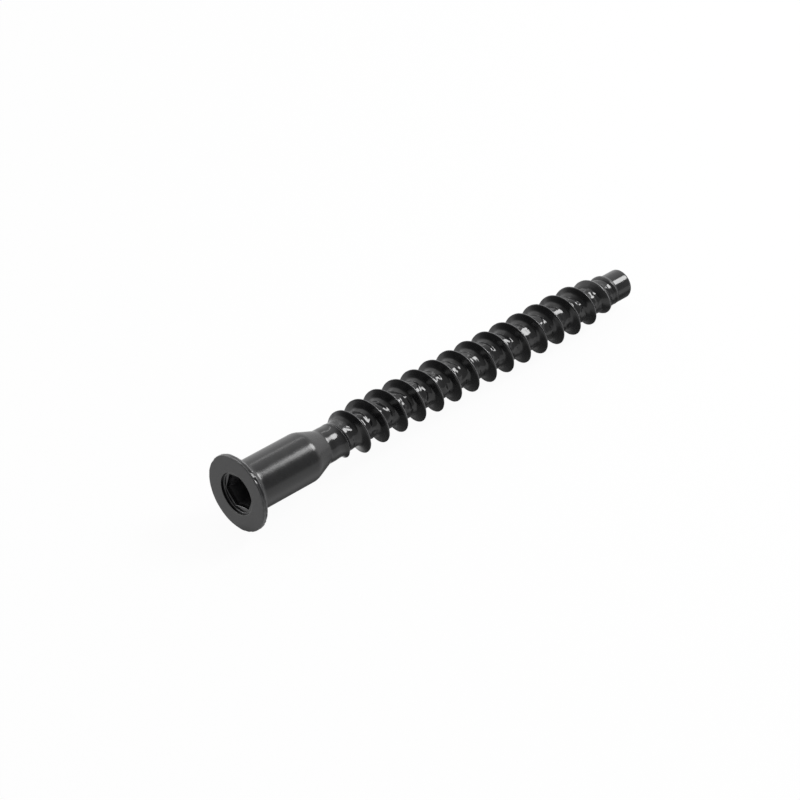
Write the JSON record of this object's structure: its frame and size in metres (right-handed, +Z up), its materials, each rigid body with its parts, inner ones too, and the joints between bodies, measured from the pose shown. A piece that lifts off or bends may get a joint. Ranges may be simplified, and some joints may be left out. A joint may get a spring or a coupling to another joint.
{
  "type": "furniture connector screw",
  "caption": "Black one-piece furniture connector screw: flat flange head with hex socket, smooth shank, tapered shoulder, coarse right-hand wood thread and plain pilot tip.",
  "frame": {"origin": "on the floor, under the middle of the lying screw's box", "axes": "+X from the head towards the tip, +Z up; the screw's axis leans about 1.9 degrees down towards the tip, because it rests on the rim of its head and on the thread"},
  "size_m": [0.0702, 0.0104, 0.0103],
  "materials": {
    "black_steel": "satin black plating"
  },
  "bodies": {
    "root": {"connector_screw": "black_steel"}
  },
  "joints": []
}
